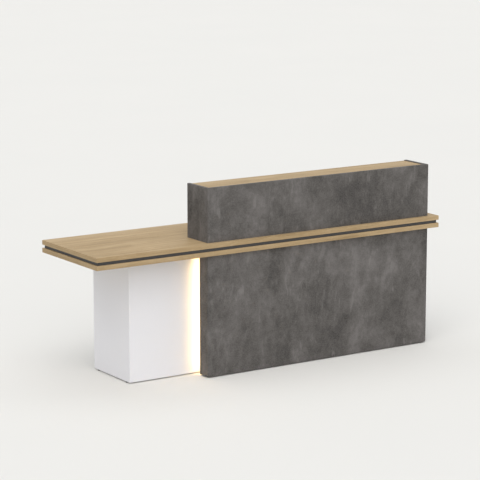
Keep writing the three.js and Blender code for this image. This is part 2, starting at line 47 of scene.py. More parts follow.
# ------------------------------------------------------------------ node graphs
class Graph:
    """A material under construction: a Principled surface and the nodes that feed it."""

    def __init__(self, name):
        self.material = bpy.data.materials.new(name)
        self.material.use_nodes = True
        self.tree = self.material.node_tree
        self.tree.nodes.clear()
        self.output = self.add("ShaderNodeOutputMaterial")
        self.surface = self.add("ShaderNodeBsdfPrincipled")
        self.link(self.surface.outputs[0], self.output.inputs["Surface"])
        where = self.add("ShaderNodeTexCoord")
        self.place = where.outputs["Object"]
        self.normal = where.outputs["Normal"]

    def add(self, kind):
        return self.tree.nodes.new(kind)

    def link(self, a, b):
        self.tree.links.new(a, b)

    def put(self, socket, value):
        if isinstance(value, bpy.types.NodeSocket):
            self.link(value, socket)
        else:
            socket.default_value = value

    def set(self, **values):
        for key, value in values.items():
            self.put(self.surface.inputs[key.replace("_", " ")], value)

    def split(self, vector):
        n = self.add("ShaderNodeSeparateXYZ")
        self.put(n.inputs[0], vector)
        return n.outputs[0], n.outputs[1], n.outputs[2]

    def join(self, x, y, z):
        n = self.add("ShaderNodeCombineXYZ")
        for socket, value in zip(n.inputs, (x, y, z)):
            self.put(socket, value)
        return n.outputs[0]

    def scaled(self, vector, factors, shift=(0.0, 0.0, 0.0)):
        n = self.add("ShaderNodeVectorMath")
        n.operation = "MULTIPLY_ADD"
        self.put(n.inputs[0], vector)
        n.inputs[1].default_value = factors
        n.inputs[2].default_value = shift
        return n.outputs[0]

    def calc(self, operation, a, b=0.0, c=0.0, clamp=False):
        n = self.add("ShaderNodeMath")
        n.operation = operation
        n.use_clamp = clamp
        self.put(n.inputs[0], a)
        self.put(n.inputs[1], b)
        self.put(n.inputs[2], c)
        return n.outputs[0]

    def between(self, share, a, b):
        n = self.add("ShaderNodeMix")
        n.data_type = "FLOAT"
        self.put(n.inputs[0], share)
        self.put(n.inputs[2], a)
        self.put(n.inputs[3], b)
        return n.outputs[0]

    def blend(self, share, a, b, mode="MIX"):
        n = self.add("ShaderNodeMix")
        n.data_type = "RGBA"
        n.blend_type = mode
        self.put(n.inputs[0], share)
        self.put(n.inputs[6], a)
        self.put(n.inputs[7], b)
        return n.outputs[2]

    def noise(self, vector, scale=1.0, detail=4.0, roughness=0.5, distortion=0.0):
        n = self.add("ShaderNodeTexNoise")
        self.put(n.inputs["Vector"], vector)
        n.inputs["Scale"].default_value = scale
        n.inputs["Detail"].default_value = detail
        n.inputs["Roughness"].default_value = roughness
        n.inputs["Distortion"].default_value = distortion
        return n.outputs[0]

    def cells(self, vector, scale, feature="F1", randomness=1.0):
        n = self.add("ShaderNodeTexVoronoi")
        n.feature = feature
        self.put(n.inputs["Vector"], vector)
        n.inputs["Scale"].default_value = scale
        n.inputs["Randomness"].default_value = randomness
        return n.outputs["Distance"], n.outputs["Color"]

    def span(self, value, low, high, to_low=0.0, to_high=1.0, smooth=False):
        n = self.add("ShaderNodeMapRange")
        n.interpolation_type = "SMOOTHSTEP" if smooth else "LINEAR"
        self.put(n.inputs["Value"], value)
        n.inputs["From Min"].default_value = low
        n.inputs["From Max"].default_value = high
        n.inputs["To Min"].default_value = to_low
        n.inputs["To Max"].default_value = to_high
        return n.outputs[0]

    def ramp(self, value, stops):
        n = self.add("ShaderNodeValToRGB")
        self.put(n.inputs[0], value)
        e = n.color_ramp.elements
        while len(e) < len(stops):
            e.new(0.5)
        for item, (at, colour) in zip(e, stops):
            item.position = at
            item.color = (*colour, 1.0)
        return n.outputs[0]

    def bump(self, height, strength, distance, base=None):
        n = self.add("ShaderNodeBump")
        n.inputs["Strength"].default_value = strength
        n.inputs["Distance"].default_value = distance
        self.put(n.inputs["Height"], height)
        if base is not None:
            self.put(n.inputs["Normal"], base)
        return n.outputs[0]

    def arris(self):
        """1 on the small rounded edges, 0 on the faces square to an axis."""
        x, y, z = (self.calc("ABSOLUTE", v) for v in self.split(self.normal))
        most = self.calc("MAXIMUM", self.calc("MAXIMUM", x, y), z)
        return self.span(most, 0.97, 0.8, 0.0, 1.0, smooth=True)


# -------------------------------------------------------------------- materials
def make_oak():
    g = Graph("oak")
    x, y, z = g.split(g.place)
    nx, ny, nz = g.split(g.normal)
    at_end = g.calc("GREATER_THAN", g.calc("ABSOLUTE", nx), 0.6)
    # The grain runs along the board, and along the banding on its short ends.
    along = g.between(at_end, x, y)
    across = g.between(at_end, y, x)
    v = g.join(along, across, z)
    wander = g.noise(g.scaled(v, (1.7, 3.0, 3.0)), 1.0, 3.0, 0.5)
    across_w = g.calc("MULTIPLY_ADD", wander, 0.055, across)
    w = g.join(along, across_w, z)
    plank = g.noise(g.scaled(w, (0.45, 5.5, 5.5), (3.1, 0.4, 1.7)), 1.0, 3.0, 0.5)
    growth = g.noise(g.scaled(w, (0.9, 34.0, 34.0)), 1.0, 5.0, 0.58, 0.25)
    streak = g.noise(g.scaled(w, (3.5, 150.0, 150.0), (7.0, 0.0, 2.0)), 1.0, 4.0, 0.55)
    fibre = g.noise(g.scaled(w, (16.0, 760.0, 760.0)), 1.0, 3.0, 0.6)
    pore_field = g.noise(g.scaled(w, (48.0, 1500.0, 1500.0), (0.0, 5.0, 0.0)), 1.0, 1.0, 0.5)
    pore_zone = g.span(growth, 0.40, 0.58, 1.0, 0.15, smooth=True)
    pore = g.calc("MULTIPLY", g.span(pore_field, 0.60, 0.70, 0.0, 1.0, smooth=True), pore_zone)
    fleck_field = g.noise(g.scaled(w, (26.0, 210.0, 210.0), (1.0, 9.0, 0.0)), 1.0, 1.0, 0.5)
    fleck = g.span(fleck_field, 0.66, 0.74, 0.0, 1.0, smooth=True)

    figure = g.noise(g.scaled(w, (4.2, 15.0, 15.0), (2.0, 6.0, 3.0)), 1.0, 4.0, 0.6, 0.8)
    tone = g.calc("MULTIPLY_ADD", growth, 0.48, g.calc("MULTIPLY", plank, 0.24))
    tone = g.calc("MULTIPLY_ADD", figure, 0.28, tone)
    colour = g.ramp(
        tone,
        [
            (0.37, (0.240, 0.163, 0.074)),
            (0.455, (0.327, 0.230, 0.115)),
            (0.535, (0.396, 0.285, 0.152)),
            (0.63, (0.477, 0.352, 0.198)),
        ],
    )
    colour = g.blend(g.span(streak, 0.35, 0.70, 0.0, 0.42), colour, (0.385, 0.270, 0.145, 1.0))
    colour = g.blend(g.span(fibre, 0.42, 0.75, 0.0, 0.30), colour, (0.610, 0.470, 0.295, 1.0))
    colour = g.blend(g.calc("MULTIPLY", fleck, 0.16), colour, (0.640, 0.520, 0.370, 1.0))
    colour = g.blend(g.calc("MULTIPLY", pore, 0.55), colour, (0.235, 0.150, 0.080, 1.0))
    colour = g.blend(g.calc("MULTIPLY", g.arris(), 0.35), colour, (0.300, 0.215, 0.125, 1.0))
    rough = g.span(streak, 0.3, 0.7, 0.46, 0.60)
    rough = g.calc("MULTIPLY_ADD", pore, 0.16, rough, clamp=True)
    height = g.calc("MULTIPLY_ADD", pore, -0.8, g.calc("MULTIPLY", fibre, 0.35))
    g.set(Base_Color=colour, Roughness=rough, Normal=g.bump(height, 0.35, 0.0004))
    g.surface.inputs["Specular IOR Level"].default_value = 0.20
    return g.material


def make_concrete():
    g = Graph("concrete_decor")
    x, y, z = g.split(g.place)
    v = g.place
    warp = g.noise(v, 2.1, 3.0, 0.55)
    lean = g.join(g.calc("MULTIPLY_ADD", warp, 0.12, x), y, g.calc("MULTIPLY_ADD", warp, 0.10, z))
    cloud = g.noise(g.scaled(lean, (1.0, 1.0, 0.9), (4.0, 1.0, 2.0)), 3.6, 5.0, 0.60, 0.3)
    patch = g.noise(g.scaled(lean, (1.0, 1.0, 0.85), (9.0, 3.0, 5.0)), 9.5, 5.0, 0.62, 0.5)
    trowel = g.noise(g.scaled(lean, (24.0, 24.0, 11.0)), 1.0, 4.0, 0.6, 0.6)
    mottle = g.noise(g.scaled(v, (1.0, 1.0, 1.0), (2.0, 7.0, 1.0)), 42.0, 4.0, 0.65, 0.3)
    grit = g.noise(v, 150.0, 4.0, 0.70)
    dust = g.noise(v, 900.0, 2.0, 0.6)
    bent = g.join(
        g.calc("MULTIPLY_ADD", mottle, 0.016, g.calc("MULTIPLY_ADD", grit, 0.009, x)),
        g.calc("MULTIPLY_ADD", grit, 0.009, y),
        g.calc("MULTIPLY_ADD", grit, 0.012, z),
    )
    pit_d, pit_c = g.cells(bent, 52.0)
    pit_r, _, _ = g.split(pit_c)
    pit = g.calc(
        "MULTIPLY",
        g.span(pit_d, 0.03, 0.10, 1.0, 0.0, smooth=True),
        g.calc("GREATER_THAN", pit_r, 0.62),
    )
    tone = g.calc("MULTIPLY_ADD", cloud, 0.44, g.calc("MULTIPLY", patch, 0.28))
    tone = g.calc("MULTIPLY_ADD", trowel, 0.14, tone)
    tone = g.calc("MULTIPLY_ADD", mottle, 0.14, tone)
    colour = g.ramp(
        tone,
        [
            (0.405, (0.039, 0.036, 0.033)),
            (0.470, (0.071, 0.066, 0.060)),
            (0.530, (0.102, 0.095, 0.089)),
            (0.605, (0.155, 0.145, 0.138)),
        ],
    )
    # Short strokes left by the float, most of them upright, some across.
    stroke = g.noise(g.scaled(lean, (38.0, 38.0, 9.0), (5.0, 2.0, 8.0)), 1.0, 3.0, 0.6, 0.4)
    across = g.noise(g.scaled(lean, (7.0, 7.0, 70.0), (1.0, 4.0, 3.0)), 1.0, 3.0, 0.6, 0.4)
    where = g.span(patch, 0.44, 0.60, 0.15, 1.0, smooth=True)
    pale = g.calc("MULTIPLY", g.span(stroke, 0.56, 0.70, 0.0, 0.42, smooth=True), where)
    colour = g.blend(pale, colour, (0.215, 0.203, 0.193, 1.0))
    colour = g.blend(g.span(across, 0.60, 0.74, 0.0, 0.30, smooth=True), colour, (0.050, 0.046, 0.043, 1.0))
    colour = g.blend(g.span(grit, 0.34, 0.66, 0.0, 0.36), colour, (0.205, 0.193, 0.183, 1.0))
    colour = g.blend(g.span(dust, 0.52, 0.72, 0.0, 0.34), colour, (0.050, 0.046, 0.042, 1.0))
    colour = g.blend(g.calc("MULTIPLY", pit, 0.65), colour, (0.036, 0.033, 0.030, 1.0))
    colour = g.blend(g.calc("MULTIPLY", g.arris(), 0.55), colour, (0.062, 0.057, 0.052, 1.0))
    rough = g.span(tone, 0.35, 0.68, 0.78, 0.60)
    rough = g.calc("MULTIPLY_ADD", grit, 0.10, rough, clamp=True)
    height = g.calc("MULTIPLY_ADD", pit, -1.0, g.calc("MULTIPLY_ADD", grit, 0.45, g.calc("MULTIPLY", trowel, 0.5)))
    g.set(Base_Color=colour, Roughness=rough, Normal=g.bump(height, 0.30, 0.0006))
    g.surface.inputs["Specular IOR Level"].default_value = 0.30
    return g.material


def make_white():
    g = Graph("white_melamine")
    v = g.place
    peel = g.noise(v, 850.0, 3.0, 0.55)
    soft = g.noise(v, 2.2, 3.0, 0.5)
    speck = g.noise(v, 2600.0, 1.0, 0.5)
    colour = g.ramp(soft, [(0.3, (0.762, 0.759, 0.772)), (0.7, (0.780, 0.777, 0.790))])
    colour = g.blend(g.span(speck, 0.60, 0.78, 0.0, 0.10), colour, (0.70, 0.70, 0.70, 1.0))
    rough = g.calc("MULTIPLY_ADD", peel, 0.14, g.span(soft, 0.3, 0.7, 0.36, 0.44))
    g.set(Base_Color=colour, Roughness=rough, Normal=g.bump(peel, 0.10, 0.0002))
    g.surface.inputs["Specular IOR Level"].default_value = 0.40
    return g.material


def make_band():
    g = Graph("anthracite_band")
    x, y, z = g.split(g.place)
    v = g.place
    grain = g.noise(g.scaled(v, (60.0, 60.0, 900.0)), 1.0, 3.0, 0.6)
    soft = g.noise(v, 7.0, 3.0, 0.5)
    colour = g.ramp(soft, [(0.3, (0.044, 0.043, 0.043)), (0.7, (0.060, 0.059, 0.058))])
    colour = g.blend(g.span(grain, 0.45, 0.75, 0.0, 0.35), colour, (0.085, 0.083, 0.081, 1.0))
    g.set(Base_Color=colour, Roughness=g.span(grain, 0.3, 0.7, 0.52, 0.68), Normal=g.bump(grain, 0.15, 0.0002))
    return g.material


def make_raw_board():
    g = Graph("raw_board")
    v = g.place
    d, c = g.cells(g.scaled(v, (1.0, 1.0, 1.0)), 420.0)
    r, _, _ = g.split(c)
    chips = g.noise(g.scaled(v, (180.0, 520.0, 520.0)), 1.0, 4.0, 0.6)
    colour = g.ramp(r, [(0.0, (0.30, 0.20, 0.115)), (0.5, (0.44, 0.31, 0.19)), (1.0, (0.58, 0.44, 0.29))])
    colour = g.blend(g.span(chips, 0.35, 0.7, 0.0, 0.6), colour, (0.50, 0.37, 0.23, 1.0))
    g.set(Base_Color=colour, Roughness=g.span(chips, 0.3, 0.7, 0.75, 0.92), Normal=g.bump(chips, 0.5, 0.0005))
    return g.material


def make_metal(name, dark, light, rough, stretch, spangle=False):
    g = Graph(name)
    v = g.place
    brush = g.noise(g.scaled(v, stretch), 1.0, 4.0, 0.6)
    tint = g.noise(v, 14.0, 3.0, 0.5)
    if spangle:
        _, c = g.cells(v, 260.0)
        tint = g.split(c)[0]
    colour = g.ramp(tint, [(0.2, dark), (0.8, light)])
    worn = g.span(brush, 0.3, 0.7, rough - 0.07, rough + 0.09)
    worn = g.calc("MULTIPLY_ADD", g.arris(), -0.08, worn)
    g.set(Base_Color=colour, Roughness=worn, Normal=g.bump(brush, 0.12, 0.0001))
    g.surface.inputs["Metallic"].default_value = 1.0
    return g.material


def make_coated():
    g = Graph("drawer_steel")
    v = g.place
    peel = g.noise(v, 620.0, 3.0, 0.5)
    soft = g.noise(v, 9.0, 3.0, 0.5)
    colour = g.ramp(soft, [(0.3, (0.125, 0.130, 0.135)), (0.7, (0.150, 0.155, 0.160))])
    colour = g.blend(g.calc("MULTIPLY", g.arris(), 0.35), colour, (0.24, 0.245, 0.25, 1.0))
    g.set(Base_Color=colour, Roughness=g.span(peel, 0.3, 0.7, 0.42, 0.56), Normal=g.bump(peel, 0.22, 0.0003))
    return g.material


def make_plastic(name, dark, light, rough, grain):
    g = Graph(name)
    v = g.place
    spark = g.noise(v, grain, 3.0, 0.6)
    soft = g.noise(v, 20.0, 3.0, 0.5)
    colour = g.ramp(soft, [(0.3, dark), (0.7, light)])
    edge = tuple(min(1.0, k * 1.7 + 0.01) for k in light)
    colour = g.blend(g.calc("MULTIPLY", g.arris(), 0.4), colour, (*edge, 1.0))
    g.set(Base_Color=colour, Roughness=g.span(spark, 0.3, 0.7, rough - 0.06, rough + 0.10), Normal=g.bump(spark, 0.25, 0.0002))
    return g.material


def make_lit(name, colour, strength):
    """Opal plastic lit from behind by the chips of the tape, a little brighter over each chip."""
    g = Graph(name)
    x, y, z = g.split(g.place)
    ripple = g.calc("SINE", g.calc("MULTIPLY", z, 2.0 * math.pi / 0.00833))
    haze = g.noise(g.place, 90.0, 2.0, 0.5)
    glow = g.calc("MULTIPLY_ADD", ripple, 0.05, g.span(haze, 0.3, 0.7, 0.95, 1.05))
    base = g.ramp(haze, [(0.3, (0.86, 0.80, 0.70)), (0.7, (0.90, 0.85, 0.76))])
    g.set(Base_Color=base, Roughness=g.span(haze, 0.3, 0.7, 0.42, 0.55))
    g.surface.inputs["Emission Color"].default_value = (*colour, 1.0)
    g.put(g.surface.inputs["Emission Strength"], g.calc("MULTIPLY", glow, strength))
    return g.material


OAK = make_oak()
CONCRETE = make_concrete()
WHITE = make_white()
BAND = make_band()
RAW = make_raw_board()
ZINC = make_metal("zinc_steel", (0.50, 0.52, 0.54), (0.66, 0.67, 0.68), 0.38, (300.0, 300.0, 300.0), spangle=True)
SATIN = make_metal("satin_steel", (0.58, 0.57, 0.55), (0.66, 0.65, 0.63), 0.30, (900.0, 900.0, 40.0))
ALUMINIUM = make_metal("aluminium_profile", (0.70, 0.70, 0.71), (0.78, 0.78, 0.79), 0.36, (1400.0, 1400.0, 12.0))
COATED = make_coated()
BLACK = make_plastic("black_plastic", (0.014, 0.014, 0.015), (0.020, 0.020, 0.021), 0.52, 1500.0)
SWITCH = make_plastic("switch_plastic", (0.50, 0.50, 0.50), (0.56, 0.56, 0.56), 0.34, 1800.0)
TAPE = make_plastic("led_tape", (0.78, 0.75, 0.68), (0.84, 0.81, 0.74), 0.50, 900.0)
OPAL = make_lit("opal_diffuser", (1.0, 0.68, 0.32), 20.8)

SLOT_MATERIAL = {
    "oak": OAK,
    "concrete_decor": CONCRETE,
    "white_melamine": WHITE,
    "anthracite_band": BAND,
    "raw_board": RAW,
    "zinc_steel": ZINC,
    "satin_steel": SATIN,
    "drawer_steel": COATED,
    "aluminium_profile": ALUMINIUM,
    "led_tape": TAPE,
    "opal_diffuser": OPAL,
    "black_plastic": BLACK,
    "switch_plastic": SWITCH,
}
SLOT_OF = {s["node"]: s["material_slot"] for s in frame["record"]["subparts"]}


def paint(obj, material):
    if not obj.data.materials:
        obj.data.materials.append(material)
    for i in range(len(obj.material_slots)):
        obj.material_slots[i].link = "OBJECT"
        obj.material_slots[i].material = material


# ------------------------------------------------------- boards: eased edges
ARRIS = {
    "oak": 0.0012,
    "concrete_decor": 0.0007,
    "white_melamine": 0.0006,
    "anthracite_band": 0.0006,
    "raw_board": 0.0004,
    "zinc_steel": 0.0003,
    "satin_steel": 0.0003,
    "drawer_steel": 0.0003,
    "aluminium_profile": 0.00015,
    "black_plastic": 0.0005,
    "switch_plastic": 0.0005,
}
for name, node in NODES.items():
    slot = SLOT_OF[name]
    paint(node, SLOT_MATERIAL[slot])
    width = ARRIS.get(slot)
    if width:
        weld = node.modifiers.new("weld", "WELD")
        weld.merge_threshold = 1e-6
        ease = node.modifiers.new("eased_edges", "BEVEL")
        ease.width = width
        ease.segments = 2
        ease.limit_method = "ANGLE"
        ease.angle_limit = math.radians(40)
        ease.use_clamp_overlap = True


# ---------------------------------------------------------------- mesh helpers
MM = 0.001


def finish_piece(name, bm, body, slot, replaced=(), smooth=35, material=None):
    """Turns a bmesh in millimetres into a piece that rides on a body."""
    bmesh.ops.remove_doubles(bm, verts=bm.verts, dist=1e-5)
    bmesh.ops.recalc_face_normals(bm, faces=bm.faces)
    mesh = bpy.data.meshes.new(name)
    bm.to_mesh(mesh)
    bm.free()
    mesh.transform(Matrix.Scale(MM, 4))
    for p in mesh.polygons:
        p.use_smooth = True
    mesh.set_sharp_from_angle(angle=math.radians(smooth))
    obj = bpy.data.objects.new(name, mesh)
    SCENE.collection.objects.link(obj)
    paint(obj, material or SLOT_MATERIAL[slot])
    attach(obj, body)
    if replaced:
        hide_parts(*replaced)
    return obj


def frame_at(at, axis):
    """A frame at a point whose local Z is the axis."""
    return Matrix.Translation(Vector(at)) @ Vector(axis).to_track_quat("Z", "Y").to_matrix().to_4x4()


def revolve(bm, profile, matrix, steps=48, wave=None, closed=False):
    """Turns a profile of (radius, height) about local Z. Radius 0 closes an end."""
    rings = []
    for k, (r, h) in enumerate(profile):
        if r < 1e-6:
            rings.append([bm.verts.new(matrix @ Vector((0, 0, h)))])
            continue
        ring = []
        for i in range(steps):
            a = 2 * math.pi * i / steps
            rr = r * (wave(k, a) if wave else 1.0)
            ring.append(bm.verts.new(matrix @ Vector((rr * math.cos(a), rr * math.sin(a), h))))
        rings.append(ring)
    pairs = list(zip(rings, rings[1:]))
    if closed:
        pairs.append((rings[-1], rings[0]))
    for a, b in pairs:
        if len(a) == 1 and len(b) == 1:
            continue
        for i in range(steps):
            j = (i + 1) % steps
            if len(a) == 1:
                bm.faces.new((a[0], b[j], b[i]))
            elif len(b) == 1:
                bm.faces.new((a[i], a[j], b[0]))
            else:
                bm.faces.new((a[i], a[j], b[j], b[i]))


def sweep(bm, path, radius, sides=20, loop=False):
    """A round bar along a list of points, with closed ends unless it is a loop."""
    pts = [Vector(p) for p in path]
    n = len(pts)
    tangents = []
    for i in range(n):
        a = pts[i - 1] if (i > 0 or loop) else pts[0]
        b = pts[(i + 1) % n] if (i < n - 1 or loop) else pts[-1]
        tangents.append((b - a).normalized())
    up = tangents[0].orthogonal().normalized()
    rings = []
    for p, t in zip(pts, tangents):
        up = (up - t * up.dot(t)).normalized()
        side = t.cross(up)
        rings.append(
            [
                bm.verts.new(p + (up * math.cos(2 * math.pi * i / sides) + side * math.sin(2 * math.pi * i / sides)) * radius)
                for i in range(sides)
            ]
        )
    pairs = list(zip(rings, rings[1:]))
    if loop:
        pairs.append((rings[-1], rings[0]))
    for a, b in pairs:
        for i in range(sides):
            j = (i + 1) % sides
            bm.faces.new((a[i], a[j], b[j], b[i]))
    if not loop:
        bm.faces.new(list(reversed(rings[0])))
        bm.faces.new(rings[-1])


def rounded(points, radius, steps=8, loop=False):
    """The polyline with each of its corners rounded to a radius."""
    pts = [Vector(p) for p in points]
    n = len(pts)
    out = []
    for i, p in enumerate(pts):
        if not loop and i in (0, n - 1):
            out.append(p)
            continue
        a, b = pts[i - 1], pts[(i + 1) % n]
        u, v = (a - p).normalized(), (b - p).normalized()
        half = math.acos(max(-1, min(1, u.dot(v)))) / 2
        back = radius / math.tan(half)
        middle = p + (u + v).normalized() * (radius / math.sin(half))
        s, e = p + u * back - middle, p + v * back - middle
        turn = s.angle(e)
        for k in range(steps + 1):
            t = k / steps
            w = (s * math.sin((1 - t) * turn) + e * math.sin(t * turn)) / math.sin(turn)
            out.append(middle + w)
    return out


def slab(bm, low, high, ease, segments=3):
    """A block between two corners with eased edges."""
    made = bmesh.ops.create_cube(bm, size=1.0)["verts"]
    low, high = Vector(low), Vector(high)
    size, centre = high - low, (high + low) / 2
    for v in made:
        v.co = Vector((v.co.x * size.x, v.co.y * size.y, v.co.z * size.z)) + centre
    edges = list({e for v in made for e in v.link_edges})
    bmesh.ops.bevel(bm, geom=edges, offset=ease, segments=segments, affect="EDGES", profile=0.5, clamp_overlap=True)


def stacked(bm, loops):
    """A solid skinned over matching closed loops, with flat ends."""
    rings = [[bm.verts.new(p) for p in loop] for loop in loops]
    n = len(rings[0])
    for a, b in zip(rings, rings[1:]):
        for i in range(n):
            j = (i + 1) % n
            bm.faces.new((a[i], a[j], b[j], b[i]))
    bm.faces.new(list(reversed(rings[0])))
    bm.faces.new(rings[-1])


def inset(outline, distance):
    """A closed outline of (x, y), anticlockwise, moved inwards."""
    n = len(outline)
    out = []
    for i in range(n):
        p = Vector(outline[i])
        a, b = Vector(outline[i - 1]), Vector(outline[(i + 1) % n])
        n1 = Vector((-(p - a).y, (p - a).x)).normalized()
        n2 = Vector((-(b - p).y, (b - p).x)).normalized()
        m = (n1 + n2).normalized()
        out.append(p + m * (distance / max(0.5, m.dot(n1))))
    return out


def screw_head(bm, at, axis, radius=3.6, rise=2.0):
    """A pan head with a six-sided socket, seated on a face."""

    def hexagon(k, a):
        if k < 7:
            return 1.0
        return 0.93 / math.cos((a % (math.pi / 3)) - math.pi / 6)

    r, h = radius, rise
    profile = [
        (0, 0.0), (r * 0.96, 0.0), (r, h * 0.14), (r * 0.97, h * 0.45), (r * 0.86, h * 0.78), (r * 0.66, h * 0.96),
        (r * 0.56, h), (r * 0.48, h), (r * 0.46, h * 0.92), (r * 0.44, h * 0.22), (0, h * 0.16),
    ]
    revolve(bm, profile, frame_at(at, axis), 36, hexagon)


# -------------------------------------------------------------- worktop boards
def bored_board(name, node, z0, z1, ease=1.2):
    """A board with eased edges, bored for the cable outlet."""
    hx, hy, cx, cy, r = 1130.0, 300.0, 820.0, 185.0, 30.0
    angles = {2 * math.pi * i / 96 - math.pi for i in range(96)}
    angles |= {math.atan2(sy * hy - cy, sx * hx - cx) for sx in (-1, 1) for sy in (-1, 1)}
    angles = sorted(angles)
    rim = []
    for a in angles:
        dx, dy = math.cos(a), math.sin(a)
        reach = []
        if abs(dx) > 1e-9:
            reach.append(((hx if dx > 0 else -hx) - cx) / dx)
        if abs(dy) > 1e-9:
            reach.append(((hy if dy > 0 else -hy) - cy) / dy)
        t = min(reach)
        rim.append((cx + dx * t, cy + dy * t))

    bm = bmesh.new()

    def outer(d, z):
        return [bm.verts.new((max(-hx + d, min(hx - d, x)), max(-hy + d, min(hy - d, y)), z)) for x, y in rim]

    def inner(d, z):
        return [bm.verts.new((cx + (r + d) * math.cos(a), cy + (r + d) * math.sin(a), z)) for a in angles]

    arc = [(ease * (1 - math.sin(q)), ease * (1 - math.cos(q))) for q in (0, math.pi / 8, math.pi / 4, 3 * math.pi / 8, math.pi / 2)]
    rings = [outer(d, z1 - dz) for d, dz in arc] + [outer(d, z0 + dz) for d, dz in reversed(arc)]
    rings += [inner(0.5, z0), inner(0.0, z0 + 0.5), inner(0.0, z1 - 0.5), inner(0.5, z1)]
    n = len(angles)
    for a, b in list(zip(rings, rings[1:])) + [(rings[-1], rings[0])]:
        for i in range(n):
            j = (i + 1) % n
            bm.faces.new((a[i], a[j], b[j], b[i]))
    finish_piece(name, bm, "desk", "oak", (node,), 12)


bored_board("worktop_upper_oak", "worktop_upper_board", 725.0, 750.0)
bored_board("worktop_lower_oak", "worktop_lower_board", 682.0, 707.0)

# ------------------------------------------------------------- bow handles
def bow_handle(name, a, b, body):
    """Round bar bent out of the face, on a turned foot at each end."""
    y0, rise, r, bend = 243.0, 24.0, 5.0, 10.0
    a, b = Vector(a), Vector(b)
    out = Vector((0, rise, 0))
    bm = bmesh.new()
    path = rounded([a + Vector((0, 0.4, 0)), a + out, b + out, b + Vector((0, 0.4, 0))], bend, 12)
    sweep(bm, path, r, 32)
    for p in (a, b):
        foot = [(0, 0), (7.6, 0), (8.0, 0.4), (8.0, 1.3), (7.7, 1.8), (7.0, 2.1), (5.9, 2.3), (5.4, 2.9), (5.15, 3.8), (0, 3.8)]
        revolve(bm, foot, frame_at(p, (0, 1, 0)), 48)
    return finish_piece(name + "_bar", bm, body, "satin_steel", (name,))


bow_handle("door_handle", (-440, 243, 330), (-440, 243, 458), "door")
bow_handle("drawer_handle", (-677, 243, 603), (-549, 243, 603), "drawer")


# ------------------------------------------------------------ levelling feet
def fluted(k, a):
    return 1.0 - 0.035 * (0.5 + 0.5 * math.cos(18 * a)) if 3 <= k <= 6 else 1.0


FEET = {
    "foot_left_front": (-838, -100), "foot_left_back": (-838, 205), "foot_partition_back": (-388, 205),
    "foot_right_front": (1043, -100), "foot_right_back": (1043, 205),
    "foot_facade_left": (-330, -231), "foot_facade_right": (970, -231),
}
for name, (x, y) in FEET.items():
    bm = bmesh.new()
    profile = [
        (0, 0.25), (5.6, 0.25), (6.0, 0.0), (7.7, 0.0), (8.3, 0.35), (8.5, 1.0), (8.5, 3.0), (8.25, 3.5), (7.4, 3.9), (7.0, 4.2),
        (7.0, 5.8), (6.8, 6.0), (3.0, 6.0),
    ]
    z = 6.0
    while z < 34.5:
        profile += [(3.0, z + 0.15), (2.55, z + 0.5), (3.0, z + 0.85)]
        z += 1.0
    profile += [(3.0, 35.0), (2.2, 36.0), (0, 36.0)]
    revolve(bm, profile, Matrix.Translation((x, y, 0)), 54, fluted)
    finish_piece(name + "_screw", bm, name, "black_plastic", (name,))


# --------------------------------------------------------------- cable outlet
OUTLET = Matrix.Translation((820, 185, 750))
bm = bmesh.new()
ring = [
    (29.6, -24), (29.6, 0), (33.6, 0), (34.0, 0.3), (34.0, 1.2), (33.8, 1.8), (33.3, 2.25), (32.6, 2.5),
    (28.0, 2.5), (27.6, 2.4), (27.4, 2.1), (27.4, -0.8), (24.9, -0.8), (24.5, -1.2), (24.5, -3), (27, -5), (27, -24),
]
revolve(bm, ring, OUTLET, 96, closed=True)
finish_piece("cable_outlet_ring", bm, "desk", "black_plastic", ("cable_grommet_ring",), 30)


def cap_outline():
    r, w, cy = 27.1, 9.0, 14.0
    mouth = math.asin(w / r)
    start, stop = math.pi / 2 + mouth, math.pi / 2 - mouth + 2 * math.pi
    outer = [(r * math.cos(start + (stop - start) * i / 88), r * math.sin(start + (stop - start) * i / 88)) for i in range(89)]
    y1 = outer[-1][1]
    right = [(w, y1 + (cy - y1) * i / 6) for i in range(1, 6)]
    arc = [(w * math.cos(-math.pi * i / 28), cy + w * math.sin(-math.pi * i / 28)) for i in range(29)]
    left = [(-w, cy + (y1 - cy) * i / 6) for i in range(1, 6)]
    return outer + right + arc + left


outline = cap_outline()
bm = bmesh.new()
stack = [(0.35, -0.7), (0.0, -0.35), (0.0, 1.7), (0.18, 2.12), (0.6, 2.3), (1.15, 2.3), (1.3, 2.22), (1.45, 2.05)]
stacked(bm, [[OUTLET @ Vector((p[0], p[1], z)) for p in (inset(outline, d) if d else [Vector(q) for q in outline])] for d, z in stack])
finish_piece("cable_outlet_cover", bm, "outlet_cap", "black_plastic", ("cable_grommet_cap",), 30)


